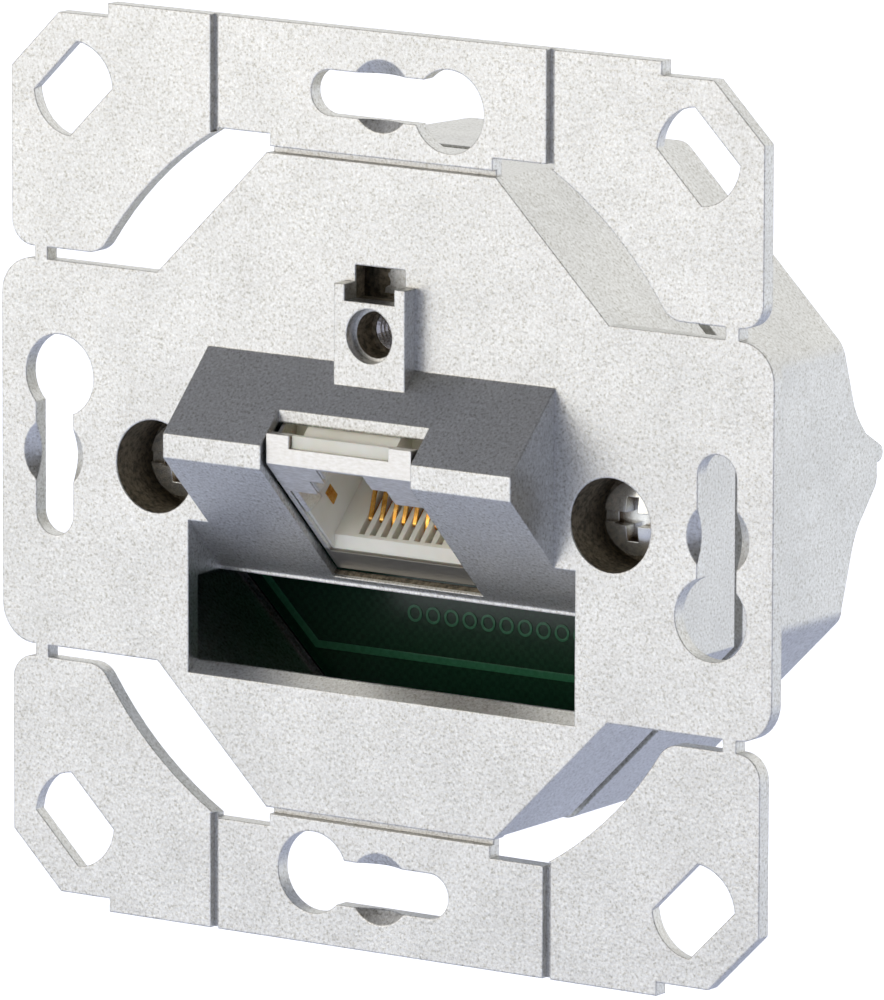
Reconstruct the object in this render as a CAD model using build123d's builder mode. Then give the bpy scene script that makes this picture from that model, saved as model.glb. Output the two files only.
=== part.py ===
from build123d import *
import os
from math import atan, degrees, sqrt

os.makedirs("parts", exist_ok=True)

# One-port flush data socket with a slanted jack, in millimetres.
# The frame: +X right, +Z up, the front faces -Y, and the plate's back face lies on
# the wall plane Y = 0 with the origin at its centre.

# Support plate
PLATE_T = 1.25           # thickness of the plate
PLATE_W = 71.0           # width of the middle band
BAND_H = 30.3            # height of the middle band
BAND_R = 3.0             # outer corner radius of the band
ARM_H = 71.1             # overall height over the upper and lower arms
OCTAGON = 25.4           # centre to flat of the octagonal middle
CORNER_OUT = 34.5        # centre to the outer edge of a corner piece
CORNER_CUT = 4.5         # bevel on the outer corner
CORNER_R = 2.0           # rounded corners of a corner piece
CORNER_GAP = 0.95        # slot between the band and a corner piece
STEP_X = 25.35           # where the arm's raised edge ends
ARC_R = 30.7             # inner edge of the corner pieces
ARM_LOW = 26.85          # lower edge of the arm beside its neck
NECK_W = 20.4            # width of the neck between octagon and arm
WEB_X = 31.75            # break-off webs
WEB_W = 1.2
GROOVE_X = 15.4          # break-off grooves
GROOVE_W = 0.7
GROOVE_DEEP = 0.55
NECK_GROOVE_W = 0.5

# Fixing slots, four in a ring
SCREW_RING = 30.6        # radius of the fixing screws, 60 mm boxes with some play
ENTRY_R = 3.2            # round entry for a screw head
ENTRY_X = 30.0
ENTRY_OFF = 6.2          # entry centre beside the screw's seat
SLOT_X = 30.5
SLOT_W = 3.5
SLOT_END = 6.4
SEAT_R = 2.82            # countersunk seat of the screw
SEAT_LOW_R = 1.6
SEAT_DEEP = 0.78
CORNER_HOLE_R = 3.71     # round hole with two flats, at each corner
CORNER_HOLE_FLAT = 4.73
CORNER_HOLE_XZ = 28.65
HOLE_DRAFT = 8.0         # degrees, the corner holes widen to the back

# Casting walls behind the plate
SKIRT_OCT = 25.3         # outer skirt, centre to flat
SKIRT_DEEP = 9.25        # end of the skirt behind the wall plane
SKIRT_IN = 23.3          # inside of the skirt
SPIGOT_T = 0.7           # wall of the spigot inside the rear housing
SPIGOT_LONG = 2.4
FIT = 0.1                # clearance between the castings

# Slanted nose of the jack
NOSE_W = 31.9
NOSE_OUT = 5.95          # nose in front of the plate's face
STRIP_TOP = 4.0          # front strip
STRIP_LOW = 2.15
NOSE_T = 0.7             # nose wall
JACK_OPEN_W = 13.8       # opening for the jack
JACK_OPEN_LOW = 8.1      # its lower end along the slanted face
JACK_OPEN_BACK = 3.52    # its upper end in front of the plate's face

# Window under the nose
WINDOW_W = 35.7
WINDOW_LOW = -15.75
SILL_RISE = 0.9          # slanted lower edge of the window
CHIN_LOW = -8.3          # lower end of the slanted face inside the window
CHIN_LAND = 0.28         # upright edge at its end
CHEEK_T = 1.2
CHEEK_DEEP = 3.75

# Cover screw boss
BOSS_W = 6.5
BOSS_OUT = 1.46
BOSS_TOP = 16.25
BOSS_Z = 12.45
COVER_SCREW_R = 1.5      # M3
MOUTH_R = 2.1
MOUTH_DEEP = 0.95
LEAD_R = 1.8             # smooth bore in front of the thread
LEAD_DEEP = 2.95
POST_R = 2.6
POST_LONG = 5.0
POCKET_W = 4.6           # pocket for the cover's spring, over the screw
POCKET_LOW = 15.0
POCKET_TOP = 17.55

# Housing screws and their wells
WELL_X = 21.0
WELL_R = 3.625
WELL_DEEP = 3.6          # seat of the screw head behind the wall plane
WELL_WALL = 1.2
WELL_FLOOR = 2.05
SCREW_R = 1.5            # M3
SCREW_PLAY = 0.2
THREAD_PLAY = 0.02
HEAD_R = 2.85
HEAD_H = 2.0
HEAD_EDGE = 1.4          # height of the head's rim under its dome
SCREW_LONG = 8.0         # screw in the pillar
TIP_LONG = 0.6
TIP_R = 1.1
TIP_ROOM = 1.0           # threaded hole past the screw's tip
SLOT_RECESS_DEEP = 0.9
SLOT_RECESS_W = 0.85
CROSS_RECESS_DEEP = 1.2
CROSS_RECESS_W = 1.0
CROSS_RECESS_L = 3.4

# Rear housing
RIM_STEP = 1.15          # open joint between the castings
RIM_STEP_IN = 0.75
REAR_DRAFT = 0.7         # loss of half width over the housing's depth
REAR_BEVEL = 25.35       # centre to the lower bevels
REAR_BEVEL_DRAFT = 0.15
REAR_LOW = 25.85         # centre to the lower flat
REAR_DEEP = 25.15        # flat back behind the wall plane
REAR_WALL = 1.6
HOOD_WALL = 1.9
REAR_IN = 22.4           # inside of the housing behind the board
HOOD_END = 10.2          # upper and lower end of the cable hood's slopes
HOOD_DEEP = 30.3         # crest of the hood
HOOD_CREST = 1.16
HOOD_KNEE = (27.05, 4.65)
HOOD_R = 1.3
KNEE_R = 6.0
REAR_EDGE_R = 1.6
PILLAR_R = 3.2
OUTLET_R = 4.3           # cable outlets
OUTLET_X = 13.0
OUTLET_Z = 4.0
LUG_X = 20.8             # tie-down lugs beside the outlets
LUG_W = 3.2
LUG_T = 1.4
LUG_ROOT = (26.9, 4.4)
LUG_TIP = (33.9, 0.4)

# Circuit board
BOARD_Y = 13.15
BOARD_T = 1.6
BOARD_OCT = 23.4
BOARD_PLAY = 0.15
NOTCH_PLAY = 0.35

# Jack: w runs along the plug's path, up and back, and u runs down the slanted face
JACK_W = 13.3
SHIELD_T = 0.3
MOUTH = -2.05            # w of the slanted face of the shield
FACET_OUT = 5.54         # upright facet in front of the plate's face
FACET_TOP = 4.95
NOTCH_W = 9.15
NOTCH_LOW = 3.95
EAR_DEEP = 0.9           # fold-back of the shield beside the notch
JACK_LOW = 7.7           # u of the lower end of the mouth
JACK_TOP = 6.2           # u of the top, towards the nose
JACK_ROOF = 9.5
CAVITY_W = 11.9
CAVITY_UP = 2.3
CAVITY_DOWN = 4.6
CAVITY_END = 9.5
KEY_W = 7.0
KEY_UP = 3.95
LATCH_W = 4.2
LATCH_UP = 5.6
LATCH_END = 5.8
LIP = 0.25               # how far the shield's opening stands back from the cavity
KEY_LIP = 0.08           # the same beside the key and the latch
SILL_BEVEL = 0.85
SILL_EDGE = 0.3          # edge between the bevelled sill and the comb
BAR_T = 0.5              # plastic bar in the shield's notch
CROWN_W = 8.55           # slanted top of the body behind the bar
POCKET_Z = 3.6           # low places of the body beside it
POCKET_BACK = -3.2
PIN_COUNT = 8
PIN_PITCH = 1.02
PIN_W = 0.35
PIN_T = 0.3
PIN_BEND = 0.3
COMB_W = 0.55
COMB_DEEP = 1.5
COMB_START = -0.75
CHANNEL_H = 0.72         # channel of a contact's tail
PIN_LINE = 5.2           # u of the contacts below the cavity
PIN_FRONT = -0.15
LOW_PINS = (3, 6)        # these two reach lower and further out
LOW_PIN = (-0.6, 5.75)
PIN_TIP = (6.2, 1.7)     # (w, u) of a contact's free end
TAIL_Z = (2.6, 0.06)     # two rows of tails
TAIL_OUT = 1.3
PIN_HOLE_R = 0.42
HOLE_SIDES = 8           # the board's small holes are drawn with flat sides
PEG_R = 1.5
PEG_X = 4.6
PEG_Z = -3.8
PEG_PLAY = 0.1
TAB_W = 1.6
TAB_Z = -1.0
TAB_OUT = 0.5            # shield's tabs behind the board

# Terminal blocks for the wires, on the back of the board
BLOCK_Z = 18.6
BLOCK_W = 18.0
BLOCK_D = 6.0
BLOCK_H = 7.4
WIRE_COUNT = 4
WIRE_PITCH = 4.2
WIRE_SLOT_W = 1.1
WIRE_SLOT_DEEP = 5.0
BLADE_W = 3.0
BLADE_T = 0.5
BLADE_H = 6.2
BLADE_SLIT = 0.4
BLADE_SLIT_DEEP = 3.4
BLADE_PLAY = 0.1
BLADE_HOLE_R = 0.5       # hole for a blade's tail

SLANT = sqrt(0.5)
START = 1.0              # how far outside the metal or plastic a cut starts
OVERCUT = 0.1            # how far one cut runs into another
FACE_Y = -PLATE_T
NOSE_Y = FACE_Y - NOSE_OUT
NOSE_TOP = STRIP_TOP + NOSE_OUT
NOSE_ROOT = STRIP_LOW - NOSE_OUT
SPIGOT_OUT = SKIRT_IN + SPIGOT_T
BOARD_BACK = BOARD_Y + BOARD_T
WELL_END = WELL_DEEP + WELL_FLOOR
RIM_Y = SKIRT_DEEP + RIM_STEP


def upright(y):
    """Plane facing the front at depth y, with x to the right and y upwards."""
    return Plane.XZ.offset(-y)


def slanted(w):
    """Plane facing out of the jack at w along the plug's path."""
    face = Plane((0, FACE_Y, 0), x_dir=(1, 0, 0), z_dir=(0, -1, -1))
    return face.offset(-w)


def jack_point(w, u):
    """(y, z) of a point given along the plug's path and down the slanted face."""
    return (FACE_Y + (w + u) * SLANT, (w - u) * SLANT)


def octagon(flat, mode=Mode.ADD):
    """Regular octagon with flats to the sides, top and bottom."""
    RegularPolygon(radius=flat, side_count=8, major_radius=False, rotation=22.5, mode=mode)


def casing(side, low_bevel, low):
    """Octagon whose lower bevels and lower flat have distances of their own."""
    diagonal = side * sqrt(2)
    low_diagonal = low_bevel * sqrt(2)
    Polygon(
        (diagonal - side, side),
        (side, diagonal - side),
        (side, side - low_diagonal),
        (low_diagonal - low, -low),
        (low - low_diagonal, -low),
        (-side, side - low_diagonal),
        (-side, diagonal - side),
        (side - diagonal, side),
        align=None,
    )


def save(part, name):
    """Label a finished piece and write its file."""
    part.label = name
    export_step(part, f"parts/{name}.step")


# One corner piece of the plate, upper right
with BuildSketch() as corner_piece:
    low = BAND_H / 2 + CORNER_GAP
    top = ARM_H / 2
    shoulder = CORNER_OUT
    with BuildLine():
        Polyline(
            (GROOVE_X, low),
            (CORNER_OUT, low),
            (CORNER_OUT, shoulder - CORNER_CUT),
            (CORNER_OUT - CORNER_CUT, shoulder),
            (STEP_X, shoulder),
            (STEP_X, top),
            (GROOVE_X, top),
            close=True,
        )
    make_face()
    Circle(ARC_R, mode=Mode.SUBTRACT)
    fillet(vertices().group_by(Axis.Y)[0], CORNER_R)

# Screw slot at the right with its round entry
with BuildSketch() as keyhole:
    with Locations((ENTRY_X, -ENTRY_OFF)):
        Circle(ENTRY_R)
    slot_high = SLOT_END - SLOT_W / 2
    with Locations((SLOT_X, (slot_high - ENTRY_OFF) / 2)):
        SlotCenterToCenter(slot_high + ENTRY_OFF, SLOT_W, rotation=90)

# Corner hole with two flats, the flats across the diagonal
with BuildSketch() as corner_hole:
    Circle(CORNER_HOLE_R)
    Rectangle(CORNER_HOLE_FLAT, 2 * CORNER_HOLE_R, mode=Mode.INTERSECT)

# Cups of the screw wells, kept inside the skirt
with BuildSketch() as well_cups:
    with GridLocations(2 * WELL_X, 0, 2, 1):
        Circle(WELL_R + WELL_WALL)
    octagon(SKIRT_OCT, mode=Mode.INTERSECT)

# Die-cast front: plate, skirt, wells, nose and cover screw boss in one piece
with BuildPart() as support_plate:
    with BuildSketch(upright(FACE_Y)):
        RectangleRounded(PLATE_W, BAND_H, BAND_R)
        octagon(OCTAGON)
        add(corner_piece.sketch)
        mirror(about=Plane.YZ)
        mirror(about=Plane.XZ)
        arm_mid = (ARM_H / 2 + ARM_LOW) / 2
        with GridLocations(0, 2 * arm_mid, 1, 2):
            Rectangle(2 * GROOVE_X, ARM_H / 2 - ARM_LOW)
        Rectangle(NECK_W, 2 * ARM_LOW)
        with GridLocations(2 * WEB_X, BAND_H + CORNER_GAP, 2, 2):
            Rectangle(WEB_W, 2 * CORNER_GAP)
        with PolarLocations(0, 4):
            add(keyhole.sketch, mode=Mode.SUBTRACT)
        window_mid = (NOSE_ROOT + WINDOW_LOW) / 2
        with Locations((0, window_mid)):
            Rectangle(WINDOW_W, NOSE_ROOT - WINDOW_LOW, mode=Mode.SUBTRACT)
    extrude(amount=-PLATE_T)

    # Corner holes, wider at the back
    with BuildSketch(upright(FACE_Y)):
        with PolarLocations(CORNER_HOLE_XZ * sqrt(2), 4, start_angle=45):
            add(corner_hole.sketch)
    extrude(amount=-PLATE_T, taper=-HOLE_DRAFT, mode=Mode.SUBTRACT)

    # Break-off grooves in the front face
    with BuildSketch(upright(FACE_Y)):
        arm_cut = ARM_H / 2 - ARM_LOW + GROOVE_W
        with GridLocations(2 * GROOVE_X, 2 * arm_mid, 2, 2):
            Rectangle(GROOVE_W, arm_cut)
        with GridLocations(0, 2 * OCTAGON + NECK_GROOVE_W, 1, 2):
            Rectangle(NECK_W, NECK_GROOVE_W)
    extrude(amount=-GROOVE_DEEP, mode=Mode.SUBTRACT)

    # Countersunk seats of the fixing screws
    with BuildSketch(upright(FACE_Y)):
        with PolarLocations(SCREW_RING, 4):
            Circle(SEAT_R)
    seat_taper = degrees(atan((SEAT_R - SEAT_LOW_R) / SEAT_DEEP))
    extrude(amount=-SEAT_DEEP, taper=seat_taper, mode=Mode.SUBTRACT)

    # Skirt and the spigot that centres the rear housing
    with BuildSketch(upright(0)):
        octagon(SKIRT_OCT)
        octagon(SKIRT_IN, mode=Mode.SUBTRACT)
    extrude(amount=-SKIRT_DEEP)
    with BuildSketch(upright(SKIRT_DEEP)):
        octagon(SPIGOT_OUT)
        octagon(SKIRT_IN, mode=Mode.SUBTRACT)
    extrude(amount=-SPIGOT_LONG)

    # Screw wells
    with BuildSketch(upright(0)):
        add(well_cups.sketch)
    extrude(amount=-WELL_END)
    with BuildSketch(upright(FACE_Y)):
        with GridLocations(2 * WELL_X, 0, 2, 1):
            Circle(WELL_R)
    extrude(amount=-(WELL_DEEP + PLATE_T), mode=Mode.SUBTRACT)
    with BuildSketch(upright(WELL_DEEP)):
        with GridLocations(2 * WELL_X, 0, 2, 1):
            Circle(SCREW_R + SCREW_PLAY)
    extrude(amount=-WELL_FLOOR, mode=Mode.SUBTRACT)

    # Nose in front of the plate
    with BuildSketch(Plane.YZ):
        Polygon(
            (0, NOSE_TOP),
            (FACE_Y, NOSE_TOP),
            (NOSE_Y, STRIP_TOP),
            (NOSE_Y, STRIP_LOW),
            (FACE_Y, NOSE_ROOT),
            (0, NOSE_ROOT),
            align=None,
        )
    extrude(amount=NOSE_W / 2, both=True)

    # Slanted face going on inside the window, its cheeks and the slanted sill
    chin_y = FACE_Y + NOSE_ROOT - CHIN_LOW
    wall_rise = NOSE_T * SLANT
    with BuildSketch(Plane.YZ):
        Polygon(
            (FACE_Y, NOSE_ROOT),
            (chin_y - CHIN_LAND, CHIN_LOW + CHIN_LAND),
            (chin_y - CHIN_LAND, CHIN_LOW),
            (chin_y + wall_rise, CHIN_LOW),
            (chin_y + wall_rise, CHIN_LOW + wall_rise),
            (FACE_Y + 2 * wall_rise, NOSE_ROOT),
            align=None,
        )
    extrude(amount=WINDOW_W / 2 + CHEEK_T, both=True)
    with BuildSketch(upright(0)):
        cheek_top = NOSE_ROOT + CHEEK_T
        with Locations((0, (cheek_top + CHIN_LOW) / 2)):
            with GridLocations(WINDOW_W + CHEEK_T, 0, 2, 1):
                Rectangle(CHEEK_T, cheek_top - CHIN_LOW)
    extrude(amount=-CHEEK_DEEP)
    with BuildSketch(Plane.YZ):
        Polygon(
            (FACE_Y, WINDOW_LOW),
            (0, WINDOW_LOW + SILL_RISE),
            (0, WINDOW_LOW),
            align=None,
        )
    extrude(amount=WINDOW_W / 2, both=True)

    # Hollow of the nose, open to the back
    roof = NOSE_TOP - 2 * wall_rise
    floor = NOSE_ROOT + 2 * wall_rise
    inner_y = NOSE_Y + NOSE_T
    roof_level = JACK_ROOF + FIT
    with BuildSketch(Plane.YZ):
        Polygon(
            (inner_y, roof - NOSE_OUT + NOSE_T),
            (FACE_Y + roof_level - roof, roof_level),
            (0, roof_level),
            (0, floor - PLATE_T),
            (inner_y, floor + NOSE_OUT - NOSE_T),
            align=None,
        )
    extrude(amount=NOSE_W / 2 - NOSE_T, both=True, mode=Mode.SUBTRACT)

    # Opening for the jack, through the slanted face, the front strip and the top
    low_in = jack_point(0, JACK_OPEN_LOW)
    low_out = jack_point(NOSE_ROOT * SLANT - START, JACK_OPEN_LOW)
    outside_y = NOSE_Y - START
    with BuildSketch(Plane.YZ):
        Polygon(
            (FACE_Y - JACK_OPEN_BACK, NOSE_TOP),
            (FACE_Y - JACK_OPEN_BACK, STRIP_LOW),
            low_in,
            low_out,
            (outside_y, low_out[1] + low_out[0] - outside_y),
            (outside_y, NOSE_TOP),
            align=None,
        )
    extrude(amount=JACK_OPEN_W / 2, both=True, mode=Mode.SUBTRACT)

    # Boss for the cover's screw, and the post behind it
    boss_y = FACE_Y - BOSS_OUT
    with BuildSketch(Plane.YZ):
        Polygon(
            (boss_y, NOSE_TOP - BOSS_OUT - wall_rise),
            (boss_y, BOSS_TOP),
            (FACE_Y / 2, BOSS_TOP),
            (FACE_Y / 2, NOSE_TOP),
            (FACE_Y, NOSE_TOP),
            align=None,
        )
    extrude(amount=BOSS_W / 2, both=True)
    with BuildSketch(upright(0)):
        with Locations((0, BOSS_Z)):
            Circle(POST_R)
    extrude(amount=-POST_LONG)
    with BuildSketch(upright(boss_y)):
        with Locations((0, BOSS_Z)):
            Circle(COVER_SCREW_R)
    extrude(amount=-(POST_LONG - boss_y), mode=Mode.SUBTRACT)
    with BuildSketch(upright(boss_y)):
        with Locations((0, BOSS_Z)):
            Circle(MOUTH_R)
    extrude(amount=-MOUTH_DEEP, mode=Mode.SUBTRACT)
    with BuildSketch(upright(boss_y)):
        with Locations((0, BOSS_Z)):
            Circle(LEAD_R)
    extrude(amount=-LEAD_DEEP, mode=Mode.SUBTRACT)
    with BuildSketch(upright(boss_y)):
        with Locations((0, (POCKET_LOW + POCKET_TOP) / 2)):
            Rectangle(POCKET_W, POCKET_TOP - POCKET_LOW)
    extrude(amount=boss_y, mode=Mode.SUBTRACT)

save(support_plate.part, "support_plate")

# Pillars for the housing screws, kept inside the spigot
with BuildSketch() as pillar_outline:
    with GridLocations(2 * WELL_X, 0, 2, 1):
        Circle(PILLAR_R)
    octagon(SKIRT_IN - 2 * FIT, mode=Mode.INTERSECT)

# Die-cast rear housing: tapered cup with hood, pillars, cable outlets and lugs
with BuildPart() as rear_housing:
    with BuildSketch(upright(RIM_Y)):
        casing(SKIRT_OCT, REAR_BEVEL, REAR_LOW)
    with BuildSketch(upright(HOOD_DEEP)):
        casing(SKIRT_OCT - REAR_DRAFT, REAR_BEVEL - REAR_BEVEL_DRAFT, REAR_LOW)
    loft()
    long_edges = rear_housing.edges().filter_by(lambda e: abs(e.tangent_at(0).Y) > 0.5)
    fillet(long_edges, REAR_EDGE_R)
    # Flat back with the slope and crest of the cable hood
    reach = 2 * OCTAGON
    with BuildSketch(Plane.YZ.offset(-OCTAGON)):
        Polygon(
            (REAR_DEEP, -reach),
            (REAR_DEEP, -HOOD_END),
            (HOOD_KNEE[0], -HOOD_KNEE[1]),
            (HOOD_DEEP, -HOOD_CREST),
            (HOOD_DEEP, HOOD_CREST),
            HOOD_KNEE,
            (REAR_DEEP, HOOD_END),
            (REAR_DEEP, reach),
            (reach, reach),
            (reach, -reach),
            align=None,
        )
        for z in (-1, 1):
            fillet(vertices().sort_by_distance((HOOD_DEEP, z * HOOD_CREST, 0))[0], HOOD_R)
            fillet(vertices().sort_by_distance((HOOD_KNEE[0], z * HOOD_KNEE[1], 0))[0], KNEE_R)
    extrude(amount=2 * OCTAGON, mode=Mode.SUBTRACT)
    with BuildSketch(upright(SKIRT_DEEP)):
        octagon(SKIRT_OCT - RIM_STEP_IN)
    extrude(amount=-2 * RIM_STEP)

    # Room for the spigot, seat of the board, and the space behind it
    with BuildSketch(upright(SKIRT_DEEP)):
        octagon(SPIGOT_OUT + FIT)
    extrude(amount=-(BOARD_Y - SKIRT_DEEP), mode=Mode.SUBTRACT)
    with BuildSketch(upright(BOARD_Y)):
        octagon(BOARD_OCT + BOARD_PLAY)
    extrude(amount=-BOARD_T, mode=Mode.SUBTRACT)
    with BuildSketch(upright(BOARD_BACK)):
        octagon(REAR_IN)
    with BuildSketch(upright(REAR_DEEP - REAR_WALL)):
        octagon(REAR_IN - REAR_DRAFT)
    loft(mode=Mode.SUBTRACT)
    hood_room = HOOD_END - HOOD_WALL
    knee_room = HOOD_KNEE[1] - HOOD_R
    with BuildSketch(Plane.YZ):
        Polygon(
            (REAR_DEEP - 2 * REAR_WALL, hood_room),
            (REAR_DEEP - REAR_WALL, hood_room),
            (HOOD_KNEE[0] - HOOD_WALL, knee_room),
            (HOOD_DEEP - REAR_WALL, 0),
            (HOOD_KNEE[0] - HOOD_WALL, -knee_room),
            (REAR_DEEP - REAR_WALL, -hood_room),
            (REAR_DEEP - 2 * REAR_WALL, -hood_room),
            align=None,
        )
    extrude(amount=WELL_X - PILLAR_R, both=True, mode=Mode.SUBTRACT)

    # Screw pillars
    with BuildSketch(upright(WELL_END)):
        add(pillar_outline.sketch)
    extrude(amount=-(REAR_DEEP - WELL_END))
    with BuildSketch(upright(WELL_END)):
        with GridLocations(2 * WELL_X, 0, 2, 1):
            Circle(SCREW_R + THREAD_PLAY)
    extrude(amount=-(SCREW_LONG + TIP_ROOM), mode=Mode.SUBTRACT)

    # Cable outlets through the hood, and the lugs that the cables are tied to
    with BuildSketch(upright(REAR_DEEP - 2 * REAR_WALL)):
        with Locations((0, OUTLET_Z)):
            with GridLocations(2 * OUTLET_X, 0, 2, 1):
                Circle(OUTLET_R)
    extrude(amount=-(HOOD_DEEP - REAR_DEEP + 3 * REAR_WALL), mode=Mode.SUBTRACT)
    lug_mid = ((LUG_ROOT[0] + LUG_TIP[0]) / 2, (LUG_ROOT[1] + LUG_TIP[1]) / 2)
    for side in (-1, 1):
        with BuildSketch(Plane.YZ.offset(side * LUG_X)):
            SlotCenterPoint(lug_mid, LUG_TIP, LUG_T)
        extrude(amount=LUG_W / 2, both=True)

save(rear_housing.part, "rear_housing")

# Housing screws, pan heads with a slot and a cross
for name, side in (("housing_screw_left", -1), ("housing_screw_right", 1)):
    with BuildPart() as housing_screw:
        seat = WELL_DEEP
        rim_y = seat - HEAD_EDGE
        top_y = seat - HEAD_H
        end_y = WELL_END + SCREW_LONG
        tip_y = end_y - TIP_LONG
        with BuildSketch(Plane.XY):
            with BuildLine():
                Polyline((0, top_y), (0, end_y), (TIP_R, end_y), (SCREW_R, tip_y))
                Polyline((SCREW_R, tip_y), (SCREW_R, seat), (HEAD_R, seat), (HEAD_R, rim_y))
                dome = HEAD_H - HEAD_EDGE
                RadiusArc((HEAD_R, rim_y), (0, top_y), (HEAD_R**2 + dome**2) / (2 * dome))
            make_face()
        revolve(axis=Axis.Y)
        with BuildSketch(upright(top_y)):
            Rectangle(2 * (HEAD_R + START), SLOT_RECESS_W)
        extrude(amount=-SLOT_RECESS_DEEP, mode=Mode.SUBTRACT)
        with BuildSketch(upright(top_y)):
            Rectangle(CROSS_RECESS_W, CROSS_RECESS_L)
            Rectangle(CROSS_RECESS_L, CROSS_RECESS_W)
        extrude(amount=-CROSS_RECESS_DEEP, mode=Mode.SUBTRACT)
    save(housing_screw.part.moved(Location((side * WELL_X, 0, 0))), name)

# Positions of the contacts and terminal blades
pins = [(i - (PIN_COUNT - 1) / 2) * PIN_PITCH for i in range(PIN_COUNT)]
wires = [(i - (WIRE_COUNT - 1) / 2) * WIRE_PITCH for i in range(WIRE_COUNT)]

# Circuit board, shaped like the housing and notched for the pillars
with BuildPart() as circuit_board:
    with BuildSketch(upright(BOARD_Y)):
        octagon(BOARD_OCT)
        with GridLocations(2 * WELL_X, 0, 2, 1):
            Circle(PILLAR_R + NOTCH_PLAY, mode=Mode.SUBTRACT)
        with GridLocations(2 * (WELL_X + PILLAR_R), 0, 2, 1):
            Rectangle(2 * PILLAR_R, 2 * (PILLAR_R + NOTCH_PLAY), mode=Mode.SUBTRACT)
        for i, x in enumerate(pins):
            with Locations((x, TAIL_Z[i % 2])):
                RegularPolygon(PIN_HOLE_R, HOLE_SIDES, mode=Mode.SUBTRACT)
        with Locations((0, PEG_Z)):
            with GridLocations(2 * PEG_X, 0, 2, 1):
                Circle(PEG_R + PEG_PLAY, mode=Mode.SUBTRACT)
        with Locations((0, TAB_Z)):
            with GridLocations(JACK_W - SHIELD_T, 0, 2, 1):
                Rectangle(SHIELD_T + 2 * FIT, TAB_W + 2 * FIT, mode=Mode.SUBTRACT)
        with GridLocations(WIRE_PITCH, 2 * BLOCK_Z, WIRE_COUNT, 2):
            RegularPolygon(BLADE_HOLE_R, HOLE_SIDES, mode=Mode.SUBTRACT)
    extrude(amount=-BOARD_T)

save(circuit_board.part, "circuit_board")

# Section of the jack body
front = FACE_Y - FACET_OUT + SHIELD_T
mouth = MOUTH + SHIELD_T
chin = jack_point(mouth, JACK_LOW)
brow_z = mouth / SLANT - (front - FACE_Y)
crown_z = front - FACE_Y + JACK_TOP / SLANT
roof_y = FACE_Y + JACK_ROOF - JACK_TOP / SLANT
body_section = [
    chin,
    (front, brow_z),
    (front, crown_z),
    (roof_y, JACK_ROOF),
    (BOARD_Y, JACK_ROOF),
    (BOARD_Y, chin[1]),
]

# Plastic body of the jack with its keyed cavity and contact comb
with BuildPart() as jack_body:
    with BuildSketch(Plane.YZ):
        Polygon(*body_section, align=None)
    extrude(amount=JACK_W / 2 - SHIELD_T, both=True)
    # Low places beside the crown, under the shield's folded ears
    side_w = (JACK_W - CROWN_W) / 2
    with BuildSketch(upright(front)):
        with Locations((0, (POCKET_Z + JACK_ROOF) / 2)):
            with GridLocations(CROWN_W + side_w, 0, 2, 1):
                Rectangle(side_w, JACK_ROOF - POCKET_Z)
    extrude(amount=-(POCKET_BACK - front), mode=Mode.SUBTRACT)
    # The bar that shows over the upright facet
    with BuildSketch(Plane.YZ):
        Polygon(
            (front, POCKET_Z - BAR_T),
            (front, FACET_TOP),
            (front + BAR_T, FACET_TOP),
            (front + BAR_T, POCKET_Z - BAR_T),
            align=None,
        )
    extrude(amount=NOTCH_W / 2 - FIT, both=True)
    # Plug cavity, its key and the room for the latch
    with BuildSketch(slanted(mouth - START)):
        with Locations((0, (CAVITY_UP - CAVITY_DOWN) / 2)):
            Rectangle(CAVITY_W, CAVITY_UP + CAVITY_DOWN)
    extrude(amount=-(CAVITY_END - mouth + START), mode=Mode.SUBTRACT)
    with BuildSketch(slanted(mouth)):
        with Locations((0, KEY_UP / 2)):
            Rectangle(KEY_W, KEY_UP)
        with Locations((0, LATCH_UP / 2)):
            Rectangle(LATCH_W, LATCH_UP)
    extrude(amount=-(LATCH_END - mouth), mode=Mode.SUBTRACT)
    # Bevelled sill at the lower edge of the mouth
    cavity_floor = CAVITY_DOWN - OVERCUT
    sill_end = COMB_START - SILL_EDGE
    with BuildSketch(Plane.YZ):
        Polygon(
            jack_point(mouth, CAVITY_DOWN + SILL_BEVEL),
            jack_point(mouth, cavity_floor),
            jack_point(sill_end, cavity_floor),
            jack_point(sill_end, CAVITY_DOWN),
            align=None,
        )
    extrude(amount=CAVITY_W / 2, both=True, mode=Mode.SUBTRACT)
    # Comb slots, each with the channel of its tail
    for i, x in enumerate(pins):
        tail_z = TAIL_Z[i % 2]
        turn = tail_z / SLANT + PIN_LINE
        comb_low = CAVITY_DOWN + COMB_DEEP
        with BuildSketch(Plane.YZ.offset(x)):
            Polygon(
                jack_point(COMB_START, cavity_floor),
                jack_point(CAVITY_END, cavity_floor),
                jack_point(CAVITY_END, comb_low),
                jack_point(COMB_START, comb_low),
                align=None,
            )
            channel_y = jack_point(turn, PIN_LINE)[0] - PIN_T
            with Locations(((channel_y + BOARD_Y) / 2, tail_z)):
                Rectangle(BOARD_Y - channel_y, CHANNEL_H)
        extrude(amount=COMB_W / 2, both=True, mode=Mode.SUBTRACT)
    # Locating pegs in the board
    with BuildSketch(upright(BOARD_Y)):
        with Locations((0, PEG_Z)):
            with GridLocations(2 * PEG_X, 0, 2, 1):
                Circle(PEG_R)
    extrude(amount=-BOARD_T)

save(jack_body.part, "jack_body")

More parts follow.
